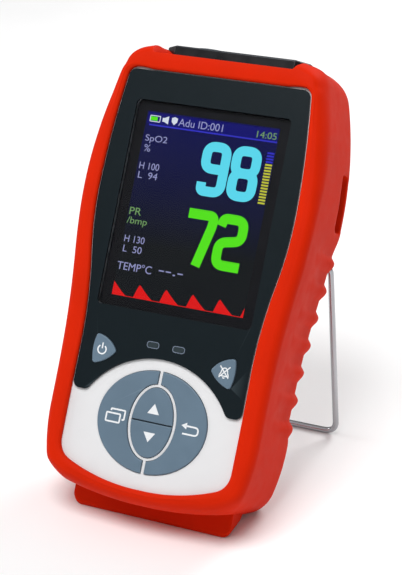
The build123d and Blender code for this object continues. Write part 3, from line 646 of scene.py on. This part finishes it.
def boot_points():
    """Rows of points, one row for each place round the outline, from lip to back and inside again."""
    def step_at(z):
        return np.where((z > FINE_FROM) & (z < FINE_TO), FINE_STEP, COARSE_STEP)

    loop = closed_loop(respaced(arc_chain(BOOT_START, BOOT_JOINS), step_at))
    normal = loop_normals(loop)
    opening = closed_loop(arc_chain(OPENING_START, OPENING_JOINS, 0.5))
    lip = reach(loop, -normal, opening) + LIP_OVERHANG
    x, z = loop[:, 0], loop[:, 1]
    up = smooth(*FACING_END, normal[:, 1])
    down = smooth(*FACING_END, -normal[:, 1])
    side = smooth(*FACING_SIDE, np.abs(normal[:, 0]))
    grip = side * smooth(*GRIP_LOW, z) * (1 - smooth(*GRIP_HIGH, z))
    grip_ribs = side * rib_profile(z) * RIB_HEIGHT
    upper = smooth(*UPPER_PART, z)
    # the front edge is a quarter of an ellipse, wider and deeper at both ends than on the sides
    front_inset = np.minimum(2.8 + 2.2 * up + 1.4 * down + 0.7 * (side * upper), lip - LIP_EDGE - 0.4)
    front_depth = 3.2 + 6.4 * up + 4.5 * down + 4.5 * upper * (1 - up)
    front_end = LIP_FRONT + front_depth
    rows = []

    def row(inset, depth):
        depth = np.broadcast_to(depth, z.shape).astype(float)
        rows.append(np.stack([x - normal[:, 0] * inset, depth, z - normal[:, 1] * inset], 1))

    def back_row(spot, depth):
        rows.append(np.stack([spot[:, 0], np.full(len(z), depth), spot[:, 1]], 1))

    def hollow(inset, depth):
        """Inset that keeps the surface under the floor of the hollow before the connector block."""
        across = 1 - smooth(*HOLLOW_SIDE, np.abs(x))
        shoulder = (1 - smooth(*SHOULDER_SIDE, np.abs(x))) * (1 - smooth(*SHOULDER_BACK, depth)) * up
        inset = inset + SHOULDER_DROP * shoulder * (1 - np.clip(inset / 5, 0, 1))
        behind = smooth(BLOCK_FRONT, BLOCK_FRONT + 5, depth)
        run = BLOCK_FRONT - LIP_FRONT
        floor = HOLLOW_START + (HOLLOW_END - HOLLOW_START) * (depth - LIP_FRONT) / run
        sunk = np.maximum(BOOT_START[1] - floor - inset, 0)
        return np.where(up > 0, inset + across * up * (1 - behind) * sunk, inset)

    def flank(depth):
        """Inset of the side wall at one depth: grip recess, ribs and a soft edge round the slot."""
        inset = grip * GRIP_RECESS * smooth(*GRIP_DEPTHS, depth)
        inset = inset - grip_ribs * np.clip((depth - RIB_START) / (RIB_FULL - RIB_START), 0, 1)
        along = np.maximum(np.abs(z - SLOT_Z) - (SLOT_LENGTH / 2 - SLOT_CORNER), 0)
        across = np.maximum(np.abs(depth - SLOT_Y) - (SLOT_WIDTH / 2 - SLOT_CORNER), 0)
        away = np.hypot(along, across) - SLOT_CORNER
        return inset + SLOT_DIP * np.clip(1 - away / SLOT_DIP_REACH, 0, 1) ** 2 * (x > 0)

    # inner edge and crown of the lip
    row(lip, LIP_SEAT)
    for step in range(6):
        angle = math.pi / 2 * step / 5
        row(lip - LIP_EDGE * (1 - math.cos(angle)), LIP_FRONT + LIP_EDGE * (1 - math.sin(angle)))
    for step in (1, 2, 3):
        part = step / 4
        inset = (lip - LIP_EDGE) * (1 - part) + front_inset * part
        row(inset, LIP_FRONT - LIP_CROWN * math.sin(math.pi * part))
    # front edge, side wall and back edge
    for step in range(12):
        angle = math.pi / 2 * step / 12
        depth = LIP_FRONT + front_depth * (1 - math.cos(angle))
        row(hollow(front_inset * (1 - math.sin(angle)), depth), depth)
    side_steps = 46
    for step in range(side_steps):
        depth = front_end + (BACK_START - front_end) * step / side_steps
        row(hollow(flank(depth), depth), depth)
    for step in range(15):
        angle = math.pi / 2 * step / 14
        fade = math.cos(angle) ** 0.6
        depth = BACK_START + BACK_ROUND * math.sin(angle)
        inset = flank(depth) * fade + grip * GRIP_RECESS * (1 - fade)
        row(inset + BACK_ROUND * (1 - math.cos(angle)), depth)
    # flat back, in to the rear window and through the wall
    width, height, corner, middle = BACK_WINDOW
    window = np.array([tuple(point) for point in box_outline(width, height, corner, 0, middle)])
    last = rows[-1][:, [0, 2]]
    inward = np.array([0.0, middle]) - last
    edge = last + inward * reach(last, inward, window)[:, None]
    inward /= np.linalg.norm(inward, axis=1)[:, None]
    for part in (0.35, 0.7):
        back_row(last + (edge - last) * part, BOOT_BACK)
    for step in range(5):
        angle = math.pi / 2 * step / 4
        spot = edge - inward * WINDOW_ROUND * (1 - math.sin(angle))
        back_row(spot, BOOT_BACK - WINDOW_ROUND * (1 - math.cos(angle)))
    back_row(edge, BOOT_SEAT)
    # inner wall, forward again to the lip
    for depth in np.linspace(BOOT_SEAT, LIP_SEAT, 14):
        outer = hollow(0.0, depth) + np.where(depth < front_end, 1.2, 0)
        ellipse_part = np.clip((depth - LIP_FRONT) / front_depth, 0, 1)
        outer = outer + front_inset * (1 - np.sqrt(1 - (1 - ellipse_part) ** 2)) + 0.8
        row(np.minimum(np.maximum(BOOT_WALL, outer), lip), depth)
        lowest = table_z(depth, BODY_CLEARANCE + BOOT_WALL)
        rows[-1][:, 2] = np.maximum(rows[-1][:, 2], lowest)
    return np.array(rows)


def foot():
    """Block under the lower end, whose sole lies flat on the table."""
    bottom, edge = table_z(FOOT_TOE), FOOT_EDGE
    profile = [(FOOT_FRONT, FOOT_TOP), (FOOT_FRONT, bottom + edge)]
    for angle in (0.4, 0.8, 1.2):
        profile.append((FOOT_TOE - edge * math.cos(angle), bottom + edge * (1 - math.sin(angle))))
    profile += [(FOOT_TOE, bottom), (FOOT_BACK - edge, table_z(FOOT_BACK - edge))]
    profile += [(FOOT_BACK, table_z(FOOT_BACK) + edge), (FOOT_BACK, FOOT_TOP)]
    across = [FOOT_HALF - FOOT_CORNER * (1 - math.sin(math.pi / 2 * step / 10)) for step in range(11)]
    stations = [-x for x in across[::-1]] + list(np.linspace(-20, 20, 9)) + across
    verts = []
    for x in stations:
        beyond = max(0.0, abs(x) - (FOOT_HALF - FOOT_CORNER)) / FOOT_CORNER
        lift = FOOT_CORNER * (1 - math.sqrt(max(0.0, 1 - beyond ** 2)))
        for y, z in map(Vector, profile):
            verts.append((x, y, z + lift if z < FOOT_TOP else z))
    count = len(profile)
    faces = []
    for row in range(len(stations) - 1):
        faces += [tuple(row * count + index for index in face) for face in ring_faces(count)]
    faces += [tuple(range(count)), tuple(range(len(verts) - count, len(verts)))[::-1]]
    return outward(solid("foot", verts, faces))


def make_boot():
    """The boot as one closed surface, with its foot, and with room for what comes through it."""
    points = boot_points()
    row_count, place_count = points.shape[:2]
    faces = []
    for row in range(row_count):
        ahead = (row + 1) % row_count
        for place in range(place_count):
            after = (place + 1) % place_count
            faces.append((
                row * place_count + place, row * place_count + after,
                ahead * place_count + after, ahead * place_count + place,
            ))
    boot = outward(solid("boot_sleeve", points.reshape(-1, 3), faces))
    # every tool ends well outside the boot
    front, back, deep = -60, 90, -190
    below = [(y, table_z(y, BODY_CLEARANCE)) for y in (front, back)] + [(back, deep), (front, deep)]
    combined(boot, prism(below, -90, 90, "x"))
    combined(boot, foot(), "UNION")
    slot = box_outline(SLOT_WIDTH, SLOT_LENGTH, SLOT_CORNER, SLOT_Y, SLOT_Z)
    combined(boot, prism(slot, 20, 60, "x"))
    half, front, back, cut = BLOCK_HALF + GAP, BLOCK_FRONT - GAP, BLOCK_BACK + GAP, BLOCK_CHAMFER
    block = [
        (-half + cut, front), (half - cut, front), (half, front + cut), (half, back - cut),
        (half - cut, back), (-half + cut, back), (-half, back - cut), (-half, front + cut),
    ]
    combined(boot, prism(block, 40, 70, "z"))
    lugs = box_outline(LUG_WIDTH, LUG_LENGTH, LUG_CORNER, 0, PIVOT.z)
    combined(boot, prism(lugs, BOOT_SEAT, BOOT_BACK + 3, "y"))
    groove = box_outline(WIRE_GROOVE_WIDTH, WIRE_GROOVE_LENGTH, WIRE_GROOVE_CORNER, PIVOT.y, PIVOT.z)
    combined(boot, prism(groove, -50, 50, "x"))
    cleaned(boot, SLIVER)
    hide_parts("boot")
    return placed(boot, "case", RED, sharp=40)


make_boot()


# ======== CAD pieces with rounded edges, and materials for the rest
def make_hollow(case):
    """Room in the front shell for the hollow of the boot."""
    under = HOLLOW_WALL + GAP
    low, high = HOLLOW_START - under, HOLLOW_END - under
    front, behind, top = -10, BLOCK_FRONT + 6, 60
    above = [
        (front, low), (LIP_FRONT, low), (BLOCK_FRONT, high),
        (behind, high), (behind, top), (front, top),
    ]
    tool = prism(above, -BLOCK_HALF, BLOCK_HALF, "x")
    tool.data.transform(DEVICE)
    combined(case, tool, solver="EXACT")
    cleaned(case, SLIVER * MM)


SOFTENED = {
    "front_case": (0.12, WHITE),
    "bezel": (0.7, BEZEL),
    "power_key": (0.15, KEY),
    "alarm_silence_key": (0.15, KEY),
    "menu_key": (0.15, KEY),
    "return_key": (0.15, KEY),
    "up_key": (0.15, KEY),
    "down_key": (0.15, KEY),
    "connector_block": (0.3, BLACK),
    "spo2_socket": (0.15, GREY),
    "temp_jack": (0.15, GREY),
    "rear_case": (0.25, WHITE),
    "battery_door": (0.25, WHITE),
}
for node, (width, material) in SOFTENED.items():
    piece = softened(node, width, material)
    if node == "front_case":
        make_hollow(piece)

PLAIN = {
    "display_window": GLASS, "lcd_panel": MASK, "backlight": GREY, "lcd_frame": SHEET,
    "keypad_mat": MAT, "snap_domes": STEEL, "light_pipes": BEZEL, "status_leds": PRINT,
    "main_board": BOARD, "processor": BLACK, "board_chips": BLACK, "display_connector": BLACK,
    "board_screws": STEEL, "case_gasket": MAT, "battery_cells": WRAP, "battery_contacts": SHEET,
    "speaker": BLACK, "spo2_contacts": BRASS, "data_port": STEEL, "case_screws": STEEL,
}
for node, material in PLAIN.items():
    shaded(nodes[node].data, material)


# ======== Bail
def make_bail():
    """Bent wire, from one lug round its bar to the other."""
    low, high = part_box("bail")
    half = high.x / MM - WIRE
    bar = TO_DEVICE @ Vector((0, high.y - WIRE * MM, low.z + WIRE * MM))
    down = Vector((0, bar.y - PIVOT.y, bar.z - PIVOT.z))
    length, down = down.length, down.normalized()
    left = [(-WIRE_END, 0), (-half, 0), (-half, -length)]
    right = [(half, -length), (half, 0), (WIRE_END, 0)]
    flat = rounded(left + right, WIRE_BEND, steps=14)
    path = [Vector((point.x, PIVOT.y - down.y * point.y, PIVOT.z - down.z * point.y)) for point in flat]
    curve = bpy.data.curves.new("bail", "CURVE")
    curve.dimensions = "3D"
    curve.bevel_depth = WIRE
    curve.bevel_resolution = 6
    curve.use_fill_caps = True
    spline = curve.splines.new("POLY")
    spline.points.add(len(path) - 1)
    for point, place in zip(spline.points, path):
        point.co = (*place, 1.0)
    bail = link("bail_wire", shape_of(curve))
    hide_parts("bail")
    return placed(bail, "bail", STEEL, sharp=60)


make_bail()

# ======== Picture on the display
PICTURE_FRONT, PICTURE_DEPTH = SCREEN_FRONT - 0.03, 0.02
FLAT_CORNER = 0.05
# the box that each text fills: its left, right, bottom and top
LILAC_WORDS = (
    ("SpO2", -20.7, -13.4, 18.9, 21.5),
    ("%", -20.5, -18.4, 16.25, 18.5),
    ("H 100", -20.9, -14.3, 10.8, 12.9),
    ("L  94", -20.7, -14.3, 7.9, 10.0),
    ("H 130", -21.0, -14.3, -12.0, -9.9),
    ("L  50", -20.8, -14.6, -15.1, -13.0),
    ("Adu ID:001", -10.9, 3.65, 25.4, 27.7),
    ("TEMP°C", -21.6, -10.1, -20.6, -18.1),
    ("--.-", -7.8, 0.1, -19.9, -18.8),
)
MOSS_WORDS = (
    ("PR", -21.1, -17.2, -3.5, -1.25),
    ("/bmp", -21.35, -14.7, -6.9, -4.2),
    ("14:05", 14.7, 21.0, 25.3, 27.3),
)
STROKE, STROKE_ROUND = 3.0, 2.6  # of the large figures
BAR_LEVELS, BARS_LIT = 18, 14
BAR_BASE, BAR_SPAN = 5.7, 16.0
WAVE_LEFT, WAVE_RIGHT, WAVE_BASE, WAVE_HEIGHT = -21.5, 21.5, -28.3, 3.9
WAVE_BEAT, WAVE_RISE, WAVE_FALL = 8.75, 1.7, 4.6


def wave_outline():
    """Filled pulse wave: a quick rise and a slower fall, once every beat."""
    points = []
    for step in range(431):
        x = WAVE_LEFT + step * 0.1
        phase = (x - WAVE_LEFT + WAVE_RISE) % WAVE_BEAT
        if phase < WAVE_RISE:
            level = math.sin(math.pi / 2 * phase / WAVE_RISE) ** 1.3
        else:
            level = max(0.0, 1 - (phase - WAVE_RISE) / WAVE_FALL) ** 1.15
        points.append(Vector((x, WAVE_BASE + WAVE_HEIGHT * level)))
    under = WAVE_BASE - 0.2
    return points + [Vector((WAVE_RIGHT, under)), Vector((WAVE_LEFT, under))]


def shown(name, shapes, material, front=PICTURE_FRONT):
    """A part of the picture, just in front of the panel."""
    inlay(name, shapes, front, PICTURE_DEPTH, "case", material)


def make_ground():
    """Dark ground of the picture, and the bar along its top."""
    backdrop = box_outline(ACTIVE_WIDTH, ACTIVE_HEIGHT, FLAT_CORNER)
    inlay("screen_backdrop", [area(backdrop)], SCREEN_FRONT, 0.008, "case", SCREEN_DARK)
    title = box_outline(ACTIVE_WIDTH - 0.6, 3.5, FLAT_CORNER, 0, 26.7)
    inlay("screen_title_bar", [area(title)], SCREEN_FRONT - 0.008, 0.006, "case", SCREEN_BLUE)
    shown("screen_title_line", [band([Vector((-20.4, 24.6)), Vector((21.4, 24.6))], 0.45)], SCREEN_LINE)


def make_figures():
    """The two large readings, drawn as strokes."""
    low, middle, high = 6.95, 13.9, 20.7
    nine = rounded([
        (0.2, 9.6), (0.2, low), (6.55, low), (6.55, high), (0.25, high), (0.25, middle), (6.0, middle),
    ], STROKE_ROUND)
    left, right = 9.9, 16.3
    upper = [(left, middle), (right, middle), (right, high), (left, high)]
    lower = [(left, low), (right, low), (right, middle), (left, middle)]
    shown("screen_spo2_tens", [band(nine, STROKE)], SCREEN_CYAN)
    for name, corners, front in (
        ("screen_spo2_units_top", upper, PICTURE_FRONT),
        ("screen_spo2_units_base", lower, SCREEN_FRONT - 0.025),
    ):
        shown(name, [band(rounded(corners, STROKE_ROUND, True), STROKE, True)], SCREEN_CYAN, front)
    low, high = -14.3, -0.2
    seven = rounded([(-1.8, high), (6.6, high), (6.3, -3.5), (3.4, -15.8)], 2.0)
    two = rounded([
        (9.2, -2.6), (9.8, high), (16.3, high), (16.3, -6.4), (9.5, -7.6), (9.5, low), (17.2, low),
    ], STROKE_ROUND)
    shown("screen_pulse_tens", [band(seven, STROKE)], SCREEN_GREEN)
    shown("screen_pulse_units", [band(two, STROKE)], SCREEN_GREEN)


def make_labels():
    """Small lettering, and the signs in the bar along the top."""
    shown("screen_labels_lilac", [words(*label) for label in LILAC_WORDS], SCREEN_LILAC)
    speaker = [(-16.3, 26.0), (-15.7, 26.0), (-14.3, 25.4), (-14.3, 27.9), (-15.7, 27.2), (-16.3, 27.2)]
    shield = [(-13.3, 27.5), (-12.3, 27.9), (-11.3, 27.5), (-11.4, 26.3), (-12.3, 25.4), (-13.2, 26.3)]
    cell = rounded([(-20.4, 25.7), (-17.1, 25.7), (-17.1, 27.5), (-20.4, 27.5)], 0.2, True)
    shown("screen_labels_pale", [area(speaker), area(shield), band(cell, 0.25, True)], SCREEN_PALE)
    shown("screen_labels_moss", [words(*label) for label in MOSS_WORDS], SCREEN_MOSS)
    shown("screen_battery", [area(box_outline(2.3, 1.2, 0.1, -19.1, 26.6))], SCREEN_GREEN)


def make_graphs():
    """The level bar on the right and the pulse wave below."""
    pitch = BAR_SPAN / BAR_LEVELS
    bars = []
    for index in range(BAR_LEVELS):
        z = BAR_BASE + index * pitch
        bars.append(area(box_outline(2.2, pitch * 0.6, 0.1, 20.2, z + pitch / 3)))
    shown("screen_bar_lit", bars[:BARS_LIT], SCREEN_YELLOW)
    shown("screen_bar_unlit", bars[BARS_LIT:], SCREEN_LINE)
    shown("screen_wave", [area(wave_outline())], SCREEN_RED)


def make_border():
    """Black border printed round the picture."""
    outer = box_outline(BORDER_WIDTH, BORDER_HEIGHT, BORDER_CORNER)
    inner = box_outline(ACTIVE_WIDTH + 0.2, ACTIVE_HEIGHT + 0.2, FLAT_CORNER)
    ring = (outer + inner, ring_faces(len(outer)))
    inlay("window_border", [ring], 0.225, 0.03, "case", MASK)


make_ground()
make_figures()
make_labels()
make_graphs()
make_border()


# ======== Prints on the keys
def printed(name, shapes, key, face):
    """A white sign on a key, in front of this face."""
    inlay(name, shapes, face - PRINT_RISE, PRINT_DEPTH, key, PRINT)


def make_pad_prints():
    """Signs on the four keys of the oval pad."""
    line = 0.5
    above, below = PAD_CENTRE + 2.6, PAD_CENTRE - 3.0
    up_arrow = [(-1.9, above), (1.9, above), (0, PAD_CENTRE + 5.7)]
    down_arrow = [(1.9, below), (-1.9, below), (0, PAD_CENTRE - 5.9)]
    printed("print_up", [area(up_arrow)], "up_key", KEY_FACE)
    printed("print_down", [area(down_arrow)], "down_key", KEY_FACE)
    front_pane = rounded([(-14.8, -66.3), (-10.3, -66.3), (-10.3, -63.7), (-14.8, -63.7)], 0.3, True)
    corner = [(-13.5, -63.0), (-13.5, -62.4), (-8.9, -62.4), (-8.9, -65.2), (-9.6, -65.2)]
    back_pane = rounded(corner, 0.3)
    panes = [band(front_pane, line, True), band(back_pane, line)]
    printed("print_menu", panes, "menu_key", KEY_FACE)
    hook = rounded([(10.9, -63.0), (15.1, -63.0), (15.1, -65.4), (10.3, -65.4)], 1.15)
    head = [(9.6, -63.0), (11.3, -62.0), (11.3, -64.0)]
    printed("print_return", [band(hook, line), area(head)], "return_key", KEY_FACE)


def make_side_prints():
    """Signs on the power key and on the key that silences the alarm."""
    line = 0.42
    ring = ellipse(-20.1, -45.6, 1.35, 1.35, 125, 415, 40)
    stem = [Vector((-20.1, -45.3)), Vector((-20.1, -43.5))]
    printed("print_power", [band(ring, line), band(stem, line)], "power_key", SIDE_KEY_FACE)
    line = 0.34
    x, z = 19.9, -45.3
    hem, high, low = z - 1.1, z + 1.8, z - 1.6
    dome = ellipse(x, z, 1.0, 1.3, 0, 180, 20)
    bell = [Vector((x + 1.45, hem))] + dome + [Vector((x - 1.45, hem))]
    rim = [Vector((x - 1.6, hem)), Vector((x + 1.6, hem))]
    clapper = ellipse(x, z - 1.5, 0.4, 0.35, 180, 360, 12)
    stroke = [Vector((x - 1.6, high)), Vector((x + 1.5, low))]
    counter = [Vector((x + 1.6, high)), Vector((x - 1.5, low))]
    for name, shapes, rise in (
        ("print_silence_bell", [band(bell, line), band(rim, line), area(clapper)], 0.0),
        ("print_silence_stroke", [band(stroke, line)], 0.01),
        ("print_silence_counter", [band(counter, line)], 0.02),
    ):
        printed(name, shapes, "alarm_silence_key", SIDE_KEY_FACE - rise)


def make_light_rims():
    """Rings round the two status lights."""
    for sign, name in ((-1, "left"), (1, "right")):
        rim = box_outline(LED_LENGTH + 0.3, LED_WIDTH + 0.3, 0.85, sign * LED_X, LED_Z)
        face = BEZEL_FRONT - 0.05
        inlay(f"light_rim_{name}", [band(rim, 0.24, True)], face, 0.2, "case", RIM)


make_pad_prints()
make_side_prints()
make_light_rims()


# ======== Floor, light and camera
FLOOR_HALF = 3.0  # in metres, as all that follows
SKY_STRENGTH = 0.32
MIDDLE = (0, 0, 0.07)
# each lamp: place, aim, size and power
LAMPS = {
    "key_light": ((-0.05, -0.42, 0.98), MIDDLE, 0.55, 8.0),
    "side_light": ((-0.85, -0.15, 0.50), MIDDLE, 0.40, 1.6),
    "back_light": ((0.30, 0.85, 0.75), (0, 0.3, 0), 0.6, 7.0),
}
VIEW_AZIMUTH, VIEW_ELEVATION = math.radians(23.2), math.radians(24.7)
VIEW_DISTANCE, VIEW_AIM = 0.498, Vector((0.0055, -0.0111, 0.0682))
SENSOR_WIDTH, LENS = 36.0, 103.7  # in millimetres


def make_floor():
    """Plain pale floor, well past the picture on every side."""
    mesh = bpy.data.meshes.new("floor")
    signs = ((-1, -1), (1, -1), (1, 1), (-1, 1))
    mesh.from_pydata([(FLOOR_HALF * x, FLOOR_HALF * y, 0) for x, y in signs], [], [(0, 1, 2, 3)])
    pale = surface("pale_floor", (0.94, 0.94, 0.94), 0.6, mottle=0.01, blotch=3, grain=400)
    mesh.materials.append(pale)
    link("floor", mesh)


def make_lights():
    """Even white surroundings and three soft lamps."""
    world = bpy.data.worlds.new("studio")
    world.use_nodes = True
    background = world.node_tree.nodes["Background"]
    background.inputs["Color"].default_value = (1, 1, 1, 1)
    background.inputs["Strength"].default_value = SKY_STRENGTH
    bpy.context.scene.world = world
    bpy.context.scene.view_settings.view_transform = "Standard"
    for name, (place, aim, size, power) in LAMPS.items():
        light = bpy.data.lights.new(name, "AREA")
        light.shape, light.size, light.energy = "DISK", size, power
        lamp = link(name, light)
        lamp.location = place
        lamp.rotation_euler = (Vector(aim) - Vector(place)).to_track_quat("-Z", "Y").to_euler()


def make_camera():
    """Camera at the viewing angle of the reference."""
    level = math.cos(VIEW_ELEVATION)
    back = Vector((
        math.sin(VIEW_AZIMUTH) * level, -math.cos(VIEW_AZIMUTH) * level, math.sin(VIEW_ELEVATION),
    ))
    lens = bpy.data.cameras.new("camera")
    lens.sensor_width, lens.lens = SENSOR_WIDTH, LENS
    camera = link("camera", lens)
    camera.location = VIEW_AIM + back * VIEW_DISTANCE
    camera.rotation_euler = back.to_track_quat("Z", "Y").to_euler()
    bpy.context.scene.camera = camera


make_floor()
make_lights()
make_camera()
